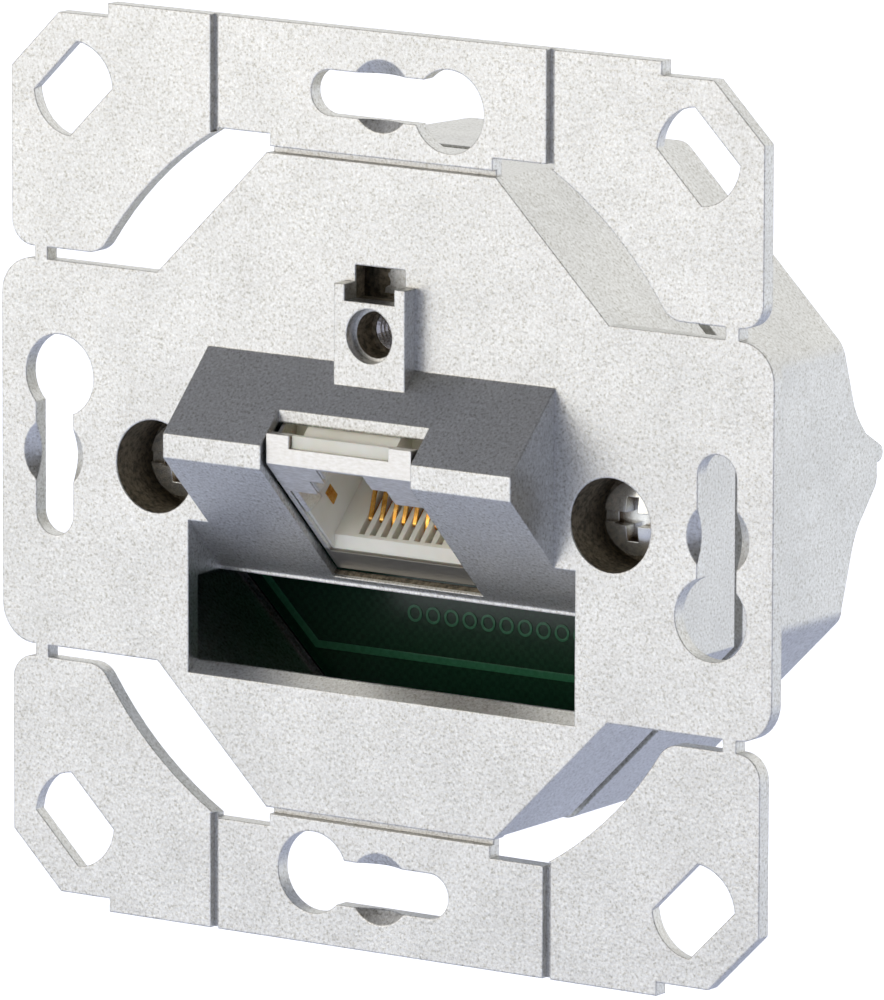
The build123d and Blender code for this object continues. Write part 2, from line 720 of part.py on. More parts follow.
# Folded shield: slanted face, upright facet and sides out of one sheet
outer_low = jack_point(MOUTH, JACK_LOW)
fold_z = MOUTH / SLANT + FACET_OUT
facet_y = FACE_Y - FACET_OUT
with BuildPart() as jack_shield:
    with BuildSketch(Plane.YZ):
        Polygon(
            outer_low,
            (facet_y, fold_z),
            (facet_y, FACET_TOP),
            (front, FACET_TOP),
            (front, brow_z),
            chin,
            align=None,
        )
    extrude(amount=JACK_W / 2, both=True)
    for side in (-1, 1):
        with BuildSketch(Plane.YZ.offset(side * (JACK_W / 2 - SHIELD_T / 2))):
            Polygon(
                outer_low,
                (facet_y, fold_z),
                (facet_y, FACET_TOP),
                (facet_y + EAR_DEEP, FACET_TOP),
                (facet_y + EAR_DEEP, crown_z + EAR_DEEP - SHIELD_T),
                (roof_y, JACK_ROOF),
                (BOARD_Y, JACK_ROOF),
                (BOARD_Y, chin[1]),
                chin,
                align=None,
            )
            with Locations((BOARD_Y + BOARD_T / 2, TAB_Z)):
                Rectangle(BOARD_T + 2 * TAB_OUT, TAB_W)
        extrude(amount=SHIELD_T / 2, both=True)
    # Ears beside the notch, folded back
    ear_w = (JACK_W - NOTCH_W) / 2
    with BuildSketch(upright(facet_y)):
        with Locations((0, FACET_TOP - SHIELD_T / 2)):
            with GridLocations(NOTCH_W + ear_w, 0, 2, 1):
                Rectangle(ear_w, SHIELD_T)
    extrude(amount=-EAR_DEEP)
    # Notch over the upright facet
    with BuildSketch(upright(facet_y)):
        with Locations((0, (NOTCH_LOW + FACET_TOP) / 2)):
            Rectangle(NOTCH_W, FACET_TOP - NOTCH_LOW)
    extrude(amount=-SHIELD_T, mode=Mode.SUBTRACT)
    # Keyed plug opening
    with BuildSketch(slanted(MOUTH)):
        with Locations((0, (CAVITY_UP - CAVITY_DOWN - SILL_BEVEL) / 2)):
            Rectangle(CAVITY_W + 2 * LIP, CAVITY_UP + CAVITY_DOWN + SILL_BEVEL)
        with Locations((0, KEY_UP / 2)):
            Rectangle(KEY_W + 2 * KEY_LIP, KEY_UP)
        with Locations((0, LATCH_UP / 2)):
            Rectangle(LATCH_W + 2 * KEY_LIP, LATCH_UP)
    extrude(amount=-SHIELD_T, mode=Mode.SUBTRACT)

save(jack_shield.part, "jack_shield")

# Contacts: a spring in the cavity, a run under it and a tail through the board
for i, x in enumerate(pins):
    tail_z = TAIL_Z[i % 2]
    turn = tail_z / SLANT + PIN_LINE
    bend = LOW_PIN if i + 1 in LOW_PINS else (PIN_FRONT, PIN_LINE)
    with BuildPart() as contact:
        with BuildSketch(Plane.YZ.offset(x)):
            with BuildLine() as wire_path:
                FilletPolyline(
                    jack_point(*PIN_TIP),
                    jack_point(*bend),
                    jack_point(turn, PIN_LINE),
                    (BOARD_BACK + TAIL_OUT, tail_z),
                    radius=PIN_BEND,
                )
                offset(amount=PIN_T / 2, side=Side.LEFT)
            make_face()
        extrude(amount=PIN_W / 2, both=True)
    save(contact.part, f"jack_contact_{i + 1}")

# Terminal blocks
for name, side in (("terminal_block_upper", 1), ("terminal_block_lower", -1)):
    with BuildPart() as terminal_block:
        with BuildSketch(upright(BOARD_BACK)):
            with Locations((0, side * BLOCK_Z)):
                Rectangle(BLOCK_W, BLOCK_D)
        extrude(amount=-BLOCK_H)
        with BuildSketch(upright(BOARD_BACK + BLOCK_H)):
            with Locations((0, side * BLOCK_Z)):
                with GridLocations(WIRE_PITCH, 0, WIRE_COUNT, 1):
                    Rectangle(WIRE_SLOT_W, BLOCK_D)
        extrude(amount=WIRE_SLOT_DEEP, mode=Mode.SUBTRACT)
        with BuildSketch(upright(BOARD_BACK)):
            with Locations((0, side * BLOCK_Z)):
                with GridLocations(WIRE_PITCH, 0, WIRE_COUNT, 1):
                    Rectangle(BLADE_W + 2 * BLADE_PLAY, BLADE_T + 2 * BLADE_PLAY, rotation=45)
        extrude(amount=-(BLADE_H + BLADE_PLAY), mode=Mode.SUBTRACT)
    save(terminal_block.part, name)

# Insulation-displacing blades with a slit for the wire and a tail in the board
for i in range(2 * WIRE_COUNT):
    side = 1 if i < WIRE_COUNT else -1
    x = wires[i % WIRE_COUNT]
    with BuildPart() as blade:
        with BuildSketch(Plane.YZ):
            with Locations((BOARD_BACK + BLADE_H / 2, 0)):
                Rectangle(BLADE_H, BLADE_W)
            with Locations((BOARD_BACK + BLADE_H - BLADE_SLIT_DEEP / 2, 0)):
                Rectangle(BLADE_SLIT_DEEP, BLADE_SLIT, mode=Mode.SUBTRACT)
            with Locations((BOARD_Y + BOARD_T / 2, 0)):
                Rectangle(BOARD_T, BLADE_T)
        extrude(amount=BLADE_T / 2, both=True)
    placed = blade.part.rotate(Axis.Y, 45).moved(Location((x, 0, side * BLOCK_Z)))
    save(placed, f"wire_blade_{i + 1}")
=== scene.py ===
from math import cos, pi, radians, sin, sqrt

import bmesh
import bpy
from mathutils import Matrix, Vector


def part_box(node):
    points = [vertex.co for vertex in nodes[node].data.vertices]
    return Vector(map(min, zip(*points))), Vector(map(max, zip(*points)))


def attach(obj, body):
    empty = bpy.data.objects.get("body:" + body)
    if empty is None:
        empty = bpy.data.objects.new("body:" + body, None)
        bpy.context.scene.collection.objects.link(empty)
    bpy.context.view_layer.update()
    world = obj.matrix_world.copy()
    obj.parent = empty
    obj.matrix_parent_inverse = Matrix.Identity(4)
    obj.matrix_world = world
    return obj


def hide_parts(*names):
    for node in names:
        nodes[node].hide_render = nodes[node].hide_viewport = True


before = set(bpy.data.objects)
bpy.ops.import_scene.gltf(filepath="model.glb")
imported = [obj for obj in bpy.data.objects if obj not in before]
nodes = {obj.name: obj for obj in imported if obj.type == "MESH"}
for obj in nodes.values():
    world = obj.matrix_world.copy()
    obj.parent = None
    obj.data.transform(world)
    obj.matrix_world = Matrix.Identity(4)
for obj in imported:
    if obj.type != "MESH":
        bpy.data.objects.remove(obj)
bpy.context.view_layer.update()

# Lengths are in metres unless a comment says millimetres, and MM turns those into metres
MM = 0.001

# The photograph's camera: the direction it looks from, its roll, and the point at the
# middle of the picture on the front face of the plate
CAMERA_AZIMUTH = 34.3206
CAMERA_ELEVATION = 10.6551
CAMERA_ROLL = 0.1754
CAMERA_TARGET = Vector((5.709, -1.25, 0.2905)) * MM
CAMERA_DISTANCE = 944.795 * MM
FOCAL_PIXELS = 12500.0
PICTURE_HEIGHT = 1000.0
SENSOR_MM = 36.0

# Front of the board in metres, front of the plate in millimetres, and the sine of the
# slope of the jack and of the nose's face
BOARD_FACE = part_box("circuit_board")[0].y
PLATE_FRONT = -1.25
SLANT = sqrt(0.5)

# Wells of the housing screws in the plate, and the cutter that rounds them between the
# cheeks' front and the wells' end, a little inside their walls
WELL_X = 21.0 * MM
WELL_R = 3.625 * MM
WELL_END = 3.6 * MM
CHEEK_Y = -0.01 * MM
CUTTER_R = WELL_R - 0.03 * MM
CUTTER_PLAY = 0.01 * MM
CUTTER_SIDES = 72

# Threaded hole of the cover's screw, and the ridge of its thread: half its width as a share
# of the pitch, and the crest's part of that
HOLE_Z = 12.45 * MM
HOLE_R = 1.5 * MM
THREAD_START = 0.35 * MM
THREAD_END = 4.7 * MM
THREAD_PITCH = 0.5 * MM
THREAD_DEPTH = 0.27 * MM
THREAD_HALF = 0.42
THREAD_CREST = 0.2
THREAD_STEPS = 28

# Round holes whose walls get a painted brown shade: x, z, radius, and the y where the painted
# shade starts
DARK_HOLES = (
    (-WELL_X, 0.0, WELL_R + 0.04 * MM, -1.13 * MM),
    (WELL_X, 0.0, WELL_R + 0.04 * MM, -1.13 * MM),
    (0.0, HOLE_Z, 1.83 * MM, -1.75 * MM),
)
# Pocket over that hole, where a shadow is painted on its floor and left walls: its room, the
# height of its floor, the x where that painted shadow ends, and how ragged that end is
POCKET_HALF = 4.3 * MM
POCKET_LOW = 14.0 * MM
POCKET_TOP = 18.4 * MM
POCKET_FRONT = -1.1 * MM
POCKET_FLOOR = 15.1 * MM
POCKET_SHADOW_EDGE = -1.1 * MM
POCKET_SHADOW_RAGGED = 0.5 * MM
# Edge of the nose's opening under the jack, where a shade is painted, along the slanted face and
# into it
RIM_HALF = 8.5 * MM
RIM_U = (7.9 * MM, 8.4 * MM)
RIM_W = (-2.42 * MM, -1.0 * MM)

# Cast wall that shows in the pocket
WEB_LOW = (-4.2 * MM, 1.5 * MM, 14.2 * MM)
WEB_HIGH = (1.8 * MM, 2.1 * MM, 18.2 * MM)

# Copper under the green mask of the board
TRACK_W = 0.6 * MM
TRACK_T = 0.05 * MM
TRACK_Z = -15.6 * MM
TRACK_CORNER_X = 15.8 * MM
TRACK_END_X = 21.2 * MM
RING_COUNT = 11
RING_PITCH = 1.71 * MM
RING_START_X = -6.6 * MM
RING_Z = -12.15 * MM
RING_OUT = 0.68 * MM
RING_IN = 0.46 * MM
RING_STEPS = 24

# Places in the jack are given as x, u down along the slanted face and w into the jack, all
# in millimetres
SPRING_T = 0.15
# Each spring of the shield: how far from the middle it starts, bends and ends, its upper and
# lower end along the face, and how deep it reaches
SPRINGS = (
    (6.14, 5.92, 5.55, -2.35, 0.55, -0.35),
    (3.56, 3.46, 3.2, -3.9, -2.55, -0.9),
    (2.16, 2.06, 1.85, -5.5, -4.45, -0.9),
)
SPRING_FRONT = -1.95
SPRING_BEND = -1.78
# End of a grounding spring in the side wall of the jack, and how far it stands out there at
# its front and at its back
TIP_X = 5.93
TIP_U = (1.35, 2.75)
TIP_W = (0.45, 1.35)
TIP_RISE = (0.12, 0.03)
# Top of the shield's lower lip, which is darker
LIP_Z = -5.0 * MM
LIP_FADE = 0.2 * MM


def srgb(r, g, b):
    """Colour written as it looks on the screen, turned into the linear values of a shader."""
    linear = [v / 12.92 if v <= 0.04045 else ((v + 0.055) / 1.055) ** 2.4 for v in (r, g, b)]
    return (*linear, 1.0)


class Graph:
    """Adds nodes to one node tree and links them."""

    def __init__(self, tree):
        self.tree = tree

    def add(self, kind, inputs=None, **settings):
        node = self.tree.nodes.new(kind)
        for key, value in settings.items():
            setattr(node, key, value)
        for key, value in (inputs or {}).items():
            self.put(node.inputs[key], value)
        return node

    def put(self, socket, value):
        if isinstance(value, bpy.types.NodeSocket):
            self.tree.links.new(value, socket)
        else:
            socket.default_value = value

    def math(self, kind, first, second=0.5):
        return self.add("ShaderNodeMath", {0: first, 1: second}, operation=kind).outputs[0]

    def vector(self, kind, first, second=None, output=0):
        values = {0: first} if second is None else {0: first, 1: second}
        return self.add("ShaderNodeVectorMath", values, operation=kind).outputs[output]

    def scale(self, vector, factor):
        values = {0: vector, "Scale": factor}
        return self.add("ShaderNodeVectorMath", values, operation="SCALE").outputs[0]

    def range(self, value, low, high, start=0.3, end=0.7, **settings):
        values = {"Value": value, "From Min": start, "From Max": end}
        values.update({"To Min": low, "To Max": high})
        return self.add("ShaderNodeMapRange", values, **settings).outputs["Result"]

    def mix(self, factor, first, second, blend="MIX"):
        node = self.add("ShaderNodeMix", data_type="RGBA", blend_type=blend)
        self.put(node.inputs[0], factor)
        self.put(node.inputs[6], first)
        self.put(node.inputs[7], second)
        return node.outputs[2]


class Finish(Graph):
    """Node tree of one material. Its places are metres in the object's frame."""

    def __init__(self, name):
        self.material = bpy.data.materials.new(name)
        self.material.use_nodes = True
        super().__init__(self.material.node_tree)
        self.shader = self.tree.nodes["Principled BSDF"]
        self.place = self.add("ShaderNodeTexCoord").outputs["Object"]

    def set(self, **values):
        for key, value in values.items():
            self.put(self.shader.inputs[key.replace("_", " ")], value)

    def noise(self, size, detail=2.0, roughness=0.5, stretch=None):
        """Noise whose features measure about size, in metres."""
        place = self.place
        if stretch:
            place = self.add("ShaderNodeMapping", {"Vector": place, "Scale": stretch}).outputs[0]
        values = {"Vector": place, "Scale": 1.0 / size, "Detail": detail, "Roughness": roughness}
        return self.add("ShaderNodeTexNoise", values).outputs["Fac"]

    def ramp(self, value, *stops):
        node = self.add("ShaderNodeValToRGB", {"Fac": value})
        points = node.color_ramp.elements
        while len(points) < len(stops):
            points.new(0.5)
        for point, (position, color) in zip(points, stops):
            point.position = position
            point.color = color
        return node.outputs["Color"]

    def axes(self):
        return self.add("ShaderNodeSeparateXYZ", {0: self.place}).outputs

    def nook(self, reach, samples, **settings):
        """Share of open sky within reach, in metres."""
        values = {"Distance": reach}
        node = self.add("ShaderNodeAmbientOcclusion", values, samples=samples, **settings)
        return node.outputs["AO"]

    def relief(self, height, depth, edge):
        """Bump of a given depth in metres, over edges rounded by the radius edge."""
        rounded = self.add("ShaderNodeBevel", {"Radius": edge}, samples=6).outputs[0]
        values = {"Height": height, "Distance": depth, "Strength": 1.0, "Normal": rounded}
        self.set(Normal=self.add("ShaderNodeBump", values).outputs["Normal"])


def inside(g, x, z, radius, front):
    """One inside the round hole of a given radius about (x, z), behind front; else zero."""
    axes = g.axes()
    flat = g.add("ShaderNodeCombineXYZ", {"X": axes["X"], "Y": 0.0, "Z": axes["Z"]}).outputs[0]
    away = g.vector("DISTANCE", flat, (x, 0.0, z), output="Value")
    near = g.math("LESS_THAN", away, radius)
    return g.math("MULTIPLY", near, g.math("GREATER_THAN", axes["Y"], front))


def all_of(g, tests, found=1.0):
    """One where every test (value, limit, kind) holds; else zero."""
    for value, limit, kind in tests:
        found = g.math("MULTIPLY", found, g.math(kind, value, limit))
    return found


def rim(g):
    """One on the edge of the nose's opening under the jack, which lies in shade and gets a
    painted shade; else zero.
    """
    axes = g.axes()
    front = g.math("SUBTRACT", axes["Y"], PLATE_FRONT * MM)
    down = g.math("SUBTRACT", front, axes["Z"])
    deep = g.math("ADD", front, axes["Z"])
    return all_of(g, (
        (g.math("ABSOLUTE", axes["X"]), RIM_HALF, "LESS_THAN"),
        (down, RIM_U[0] / SLANT, "GREATER_THAN"),
        (down, RIM_U[1] / SLANT, "LESS_THAN"),
        (deep, RIM_W[0] / SLANT, "GREATER_THAN"),
        (deep, RIM_W[1] / SLANT, "LESS_THAN"),
    ))


def pocket(g):
    """One where a shadow is painted in the pocket over the hole of the cover's screw, on its
    floor and its left walls; else zero.
    """
    axes = g.axes()
    ragged = g.range(g.noise(0.9 * MM), -POCKET_SHADOW_RAGGED, POCKET_SHADOW_RAGGED)
    left = g.math("LESS_THAN", g.math("ADD", axes["X"], ragged), POCKET_SHADOW_EDGE)
    low = g.math("LESS_THAN", axes["Z"], POCKET_FLOOR)
    tests = (
        (g.math("ABSOLUTE", axes["X"]), POCKET_HALF, "LESS_THAN"),
        (axes["Y"], POCKET_FRONT, "GREATER_THAN"),
        (axes["Z"], POCKET_LOW, "GREATER_THAN"),
        (axes["Z"], POCKET_TOP, "LESS_THAN"),
    )
    return all_of(g, tests, g.math("MAXIMUM", left, low))


def cast_zinc(name="cast_zinc", holes=False):
    """Tumbled die casting: light grey with fine grains, painted shade in its crevices, and with
    holes set, rough walls with a painted brown shade in its holes, pocket and nose rim.
    """
    g = Finish(name)
    grain = g.noise(0.22 * MM, detail=4.0, roughness=0.7)
    patch = g.noise(5.0 * MM, detail=2.0)
    base = g.ramp(
        grain,
        (0.34, srgb(0.72, 0.71, 0.67)),
        (0.44, srgb(0.86, 0.855, 0.835)),
        (0.56, srgb(0.915, 0.915, 0.90)),
        (0.66, srgb(0.97, 0.97, 0.96)),
    )
    shade = g.range(patch, 0.94, 1.02)
    tone = g.add("ShaderNodeCombineColor", {"Red": shade, "Green": shade, "Blue": shade})
    clean = g.mix(1.0, base, tone.outputs[0], blend="MULTIPLY")
    # Painted shade: the colour turns dark brown in crevices and grooves, where nearby surfaces
    # close in
    painted_shade = g.range(g.nook(0.6 * MM, 4), 0.7, 0.0, start=0.1, end=0.6)
    color = g.mix(painted_shade, clean, srgb(0.40, 0.36, 0.31))
    rough = g.range(grain, 0.36, 0.48)
    metal = 1.0
    if holes:
        # Painted brown shade on the walls of the wells and the bore, in the pocket and along the
        # nose's lower rim
        fine = g.noise(0.4 * MM, detail=4.0, roughness=0.65)
        painted_wall_shade = g.ramp(fine, (0.38, srgb(0.40, 0.37, 0.31)), (0.62, srgb(0.66, 0.61, 0.52)))
        dark = g.math("ADD", pocket(g), rim(g))
        for hole in DARK_HOLES:
            dark = g.math("ADD", dark, inside(g, *hole))
        color = g.mix(dark, color, painted_wall_shade)
        metal = g.range(dark, 1.0, 0.6, start=0.0, end=1.0)
        rough = g.add("ShaderNodeMix", {0: dark, 2: rough, 3: 0.55}).outputs[0]
    g.set(Base_Color=color, Metallic=metal, Roughness=rough)
    g.relief(g.noise(0.3 * MM, detail=3.0), 0.022 * MM, edge=0.18 * MM)
    return g.material


def cut_metal():
    """Bright cut thread."""
    g = Finish("cut_zinc")
    marks = g.noise(0.1 * MM, stretch=(1.0, 6.0, 1.0))
    base = g.ramp(marks, (0.35, srgb(0.86, 0.83, 0.80)), (0.65, srgb(1.0, 0.98, 0.96)))
    g.set(Base_Color=base, Metallic=0.85, Roughness=g.range(marks, 0.2, 0.3))
    g.relief(marks, 0.004 * MM, edge=0.05 * MM)
    return g.material


def screw_steel():
    """Smooth nickel-plated steel with a painted brown shade in the recess."""
    g = Finish("screw_steel")
    film = g.noise(1.2 * MM, detail=2.0)
    marks = g.noise(0.12 * MM, detail=2.0)
    base = g.ramp(film, (0.35, srgb(0.90, 0.90, 0.88)), (0.65, srgb(0.97, 0.97, 0.95)))
    # Painted shade: brown in the recess and its slots, where the screw's own surfaces close in
    painted_shade = g.range(g.nook(1.0 * MM, 8, only_local=True), 0.95, 0.0, start=0.32, end=0.72)
    color = g.mix(painted_shade, base, srgb(0.44, 0.35, 0.22))
    g.set(Base_Color=color, Metallic=0.9, Roughness=g.range(marks, 0.18, 0.26))
    g.relief(marks, 0.002 * MM, edge=0.1 * MM)
    return g.material


def shield_metal():
    """Tinned sheet with a fine rolled grain, painted shade in its corners and a darker lower lip.
    """
    g = Finish("shield_metal")
    grain = g.noise(0.2 * MM, detail=3.0, stretch=(0.35, 1.0, 1.0))
    base = g.ramp(grain, (0.3, srgb(0.88, 0.87, 0.84)), (0.7, srgb(0.97, 0.965, 0.95)))
    # Painted shade: darker in the corners of the sheet, where nearby surfaces close in
    painted_shade = g.range(g.nook(1.0 * MM, 6), 0.75, 0.0, start=0.2, end=0.65)
    color = g.mix(painted_shade, base, srgb(0.45, 0.42, 0.37))
    lip = g.range(g.axes()["Z"], 0.95, 0.0, start=LIP_Z - LIP_FADE, end=LIP_Z)
    color = g.mix(lip, color, srgb(0.60, 0.585, 0.55))
    g.set(Base_Color=color, Metallic=1.0, Roughness=g.range(grain, 0.4, 0.5))
    g.relief(grain, 0.01 * MM, edge=0.1 * MM)
    return g.material


def moulding(name, dark, light):
    """Moulded plastic: faint flow shades and a fine skin."""
    g = Finish(name)
    flow = g.noise(2.5 * MM, detail=2.0)
    base = g.ramp(flow, (0.3, srgb(*dark)), (0.7, srgb(*light)))
    g.set(Base_Color=base, Roughness=g.range(flow, 0.34, 0.44))
    g.shader.inputs["Subsurface Weight"].default_value = 0.15
    g.shader.inputs["Subsurface Scale"].default_value = 1.0 * MM
    g.relief(g.noise(0.12 * MM), 0.006 * MM, edge=0.1 * MM)
    return g.material


def contact_gold():
    """Gold plating, a little uneven."""
    g = Finish("contact_gold")
    wear = g.noise(0.4 * MM)
    base = g.ramp(wear, (0.3, srgb(0.88, 0.60, 0.24)), (0.7, srgb(1.0, 0.80, 0.45)))
    g.set(Base_Color=base, Metallic=1.0, Roughness=g.range(wear, 0.16, 0.28))
    g.relief(wear, 0.005 * MM, edge=0.06 * MM)
    return g.material


def blade_bronze():
    """Tinned bronze blades."""
    g = Finish("blade_bronze")
    wear = g.noise(0.5 * MM)
    base = g.ramp(wear, (0.3, srgb(0.78, 0.72, 0.60)), (0.7, srgb(0.88, 0.84, 0.76)))
    g.set(Base_Color=base, Metallic=1.0, Roughness=0.3)
    g.relief(wear, 0.005 * MM, edge=0.05 * MM)
    return g.material


def board_mask(name, dark, light):
    """Solder mask over glass cloth: dark green and glossy, with a faint weave."""
    g = Finish(name)
    weave = g.add("ShaderNodeTexChecker", {"Vector": g.place, "Scale": 1.0 / (0.45 * MM)})
    cloth = g.noise(0.3 * MM, detail=2.0)
    level = g.mix(0.25, cloth, weave.outputs["Color"])
    base = g.ramp(level, (0.25, srgb(*dark)), (0.75, srgb(*light)))
    g.set(Base_Color=base, Roughness=g.range(cloth, 0.16, 0.24))
    g.relief(cloth, 0.004 * MM, edge=0.06 * MM)
    return g.material


ZINC = cast_zinc()
PLATE_ZINC = cast_zinc("plate_zinc", holes=True)
CUT = cut_metal()
STEEL = screw_steel()
SHIELD = shield_metal()
IVORY = moulding("jack_plastic", (0.955, 0.935, 0.865), (0.985, 0.97, 0.915))
TERMINAL = moulding("terminal_plastic", (0.84, 0.83, 0.79), (0.90, 0.89, 0.86))
GOLD = contact_gold()
BRONZE = blade_bronze()
MASK = board_mask("board_mask", (0.08, 0.20, 0.14), (0.11, 0.26, 0.18))
TRACK = board_mask("track_mask", (0.20, 0.44, 0.31), (0.24, 0.50, 0.36))

FINISHES = {
    "support_plate": PLATE_ZINC,
    "rear_housing": ZINC,
    "housing_screw_left": STEEL,
    "housing_screw_right": STEEL,
    "circuit_board": MASK,
    "jack_body": IVORY,
    "jack_shield": SHIELD,
    "terminal_block_upper": TERMINAL,
    "terminal_block_lower": TERMINAL,
}


def paint(obj, material):
    if not obj.material_slots:
        obj.data.materials.append(material)
    for slot in obj.material_slots:
        slot.material = material


for name, obj in nodes.items():
    if name.startswith("jack_contact"):
        paint(obj, GOLD)
    elif name.startswith("wire_blade"):
        paint(obj, BRONZE)
    else:
        paint(obj, FINISHES[name])


def piece(name, mesh, material):
    """Finished mesh as a piece of the object, with its material, attached to the root body."""
    data = bpy.data.meshes.new(name)
    bmesh.ops.recalc_face_normals(mesh, faces=mesh.faces)
    mesh.to_mesh(data)
    mesh.free()
    data.materials.append(material)
    obj = bpy.data.objects.new(name, data)
    bpy.context.scene.collection.objects.link(obj)
    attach(obj, "root")


def sweep(mesh, rings, closed=False):
    """Faces between rings of points, and caps at both ends unless the rings close."""
    rows = [[mesh.verts.new(p) for p in ring] for ring in rings]
    count = len(rows[0])
    last = len(rows) if closed else len(rows) - 1
    for i in range(last):
        here, there = rows[i], rows[(i + 1) % len(rows)]
        for j in range(count):
            k = (j + 1) % count
            mesh.faces.new((here[j], here[k], there[k], there[j]))
    if not closed:
        mesh.faces.new(rows[0])
        mesh.faces.new(rows[-1])


def front_casting():
    """The support plate with the corners of its cheeks cut out of the round wells."""
    plate = nodes["support_plate"]
    mesh = bmesh.new()
    turn = Matrix.Rotation(pi / 2, 4, "X")
    for side in (-1, 1):
        middle = Matrix.Translation((side * WELL_X, (CHEEK_Y + WELL_END) / 2, 0))
        bmesh.ops.create_cone(
            mesh, cap_ends=True, segments=CUTTER_SIDES, radius1=CUTTER_R, radius2=CUTTER_R,
            depth=WELL_END - CHEEK_Y - CUTTER_PLAY, matrix=middle @ turn,
        )
    data = bpy.data.meshes.new("well_cutter")
    mesh.to_mesh(data)
    mesh.free()
    cutter = bpy.data.objects.new("well_cutter", data)
    bpy.context.scene.collection.objects.link(cutter)
    casting = bpy.data.objects.new("front_casting", plate.data.copy())
    casting.matrix_world = plate.matrix_world.copy()
    bpy.context.scene.collection.objects.link(casting)
    cut = casting.modifiers.new("wells", "BOOLEAN")
    cut.object = cutter
    cut.operation = "DIFFERENCE"
    cut.solver = "EXACT"
    shapes = bpy.context.evaluated_depsgraph_get()
    casting.data = bpy.data.meshes.new_from_object(casting.evaluated_get(shapes))
    casting.modifiers.clear()
    bpy.data.objects.remove(cutter)
    paint(casting, PLATE_ZINC)
    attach(casting, "root")
    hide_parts("support_plate")


def cover_screw_thread():
    """Helical ridge of the thread in the boss."""
    mesh = bmesh.new()
    turns = (THREAD_END - THREAD_START) / THREAD_PITCH
    half = THREAD_PITCH * THREAD_HALF
    flat = half * THREAD_CREST
    crest = HOLE_R - THREAD_DEPTH
    profile = ((HOLE_R, -half), (crest, -flat), (crest, flat), (HOLE_R, half))
    rings = []
    for i in range(int(turns * THREAD_STEPS) + 1):
        angle = 2 * pi * i / THREAD_STEPS
        along = THREAD_START + THREAD_PITCH * i / THREAD_STEPS
        rings.append([(r * cos(angle), along + y, HOLE_Z + r * sin(angle)) for r, y in profile])
    sweep(mesh, rings)
    piece("cover_screw_thread", mesh, CUT)


def pocket_web():
    """Cast wall behind the pocket over the boss, on the boss's post."""
    mesh = bmesh.new()
    low, high = Vector(WEB_LOW), Vector(WEB_HIGH)
    size = Matrix.Diagonal((*(high - low), 1.0))
    bmesh.ops.create_cube(mesh, size=1.0, matrix=Matrix.Translation((low + high) / 2) @ size)
    piece("pocket_web", mesh, PLATE_ZINC)


def ribbon(mesh, points, width, thick, face):
    """Flat track with mitred corners that lies on the board's front."""
    rings = []
    for i, (x, z) in enumerate(points):
        before = Vector(points[max(i - 1, 0)])
        after = Vector(points[min(i + 1, len(points) - 1)])
        here = Vector((x, z))
        ways = [v.normalized() for v in (here - before, after - here) if v.length > 0]
        way = sum(ways, Vector((0, 0))).normalized()
        side = Vector((-way.y, way.x)) * (width / 2 / way.dot(ways[0]))
        rings.append([
            (x + side.x, face, z + side.y),
            (x - side.x, face, z - side.y),
            (x - side.x, face - thick, z - side.y),
            (x + side.x, face - thick, z + side.y),
        ])
    sweep(mesh, rings)


def jack_place(x, u, w):
    """Point of the jack in metres, in the object's frame."""
    return (x * MM, (PLATE_FRONT + (w + u) * SLANT) * MM, (w - u) * SLANT * MM)


def shield_springs():
    """Lugs of the shield that are bent inwards along the steps of the keyed opening."""
    mesh = bmesh.new()
    for side in (-1, 1):
        for start, bend, end, upper, lower, deep in SPRINGS:
            line = [(start, SPRING_FRONT), (bend, SPRING_BEND), (end, deep)]
            back = [(x - SPRING_T, w) for x, w in reversed(line)]
            rings = []
            for u in (upper, lower):
                rings.append([jack_place(side * x, u, w) for x, w in line + back])
            sweep(mesh, rings)
    piece("shield_springs", mesh, SHIELD)


def grounding_tips():
    """Ends of the grounding springs that show in the side walls of the jack's cavity."""
    mesh = bmesh.new()
    for side in (-1, 1):
        rings = []
        for u in TIP_U:
            rings.append([
                jack_place(side * TIP_X, u, TIP_W[0]),
                jack_place(side * TIP_X, u, TIP_W[1]),
                jack_place(side * (TIP_X - TIP_RISE[1]), u, TIP_W[1]),
                jack_place(side * (TIP_X - TIP_RISE[0]), u, TIP_W[0]),
            ])
        sweep(mesh, rings)
    piece("grounding_tips", mesh, GOLD)


def board_tracks():
    """The ground track along the board's contour and a row of via rings above it."""
    mesh = bmesh.new()
    rise = TRACK_END_X - TRACK_CORNER_X
    ribbon(mesh, [
        (-TRACK_END_X, TRACK_Z + rise),
        (-TRACK_CORNER_X, TRACK_Z),
        (TRACK_CORNER_X, TRACK_Z),
        (TRACK_END_X, TRACK_Z + rise),
    ], TRACK_W, TRACK_T, BOARD_FACE)
    profile = ((RING_IN, 0), (RING_OUT, 0), (RING_OUT, TRACK_T), (RING_IN, TRACK_T))
    for n in range(RING_COUNT):
        x = RING_START_X + n * RING_PITCH
        rings = []
        for i in range(RING_STEPS):
            angle = 2 * pi * i / RING_STEPS
            c, s = cos(angle), sin(angle)
            rings.append([(x + r * c, BOARD_FACE - y, RING_Z + r * s) for r, y in profile])
        sweep(mesh, rings, closed=True)
    piece("board_tracks", mesh, TRACK)


front_casting()
cover_screw_thread()
pocket_web()
shield_springs()
grounding_tips()
board_tracks()

# Studio: a pale floor, a white background, and soft light whose strength depends on its side
FLOOR_Z = -220 * MM
FLOOR_SIZE = 6.0
FLOOR_COLOR = (0.60, 0.63, 0.74)
FLOOR_GLOW = (0.02, 0.03, 0.07)
FLOOR_FAR = (0.61, 0.61, 0.56)
FLOOR_WHITE = (0.78, 0.78, 0.78)
# Distance over which the floor's far light comes in, and the side where it is missing, with
# the cosines from that side between which it fades
FAR_FROM, FAR_TO = 0.35, 1.0
DARK_SIDE = (0.6, -0.8, 0.0)
DARK_FROM, DARK_TO = 0.45, 0.85

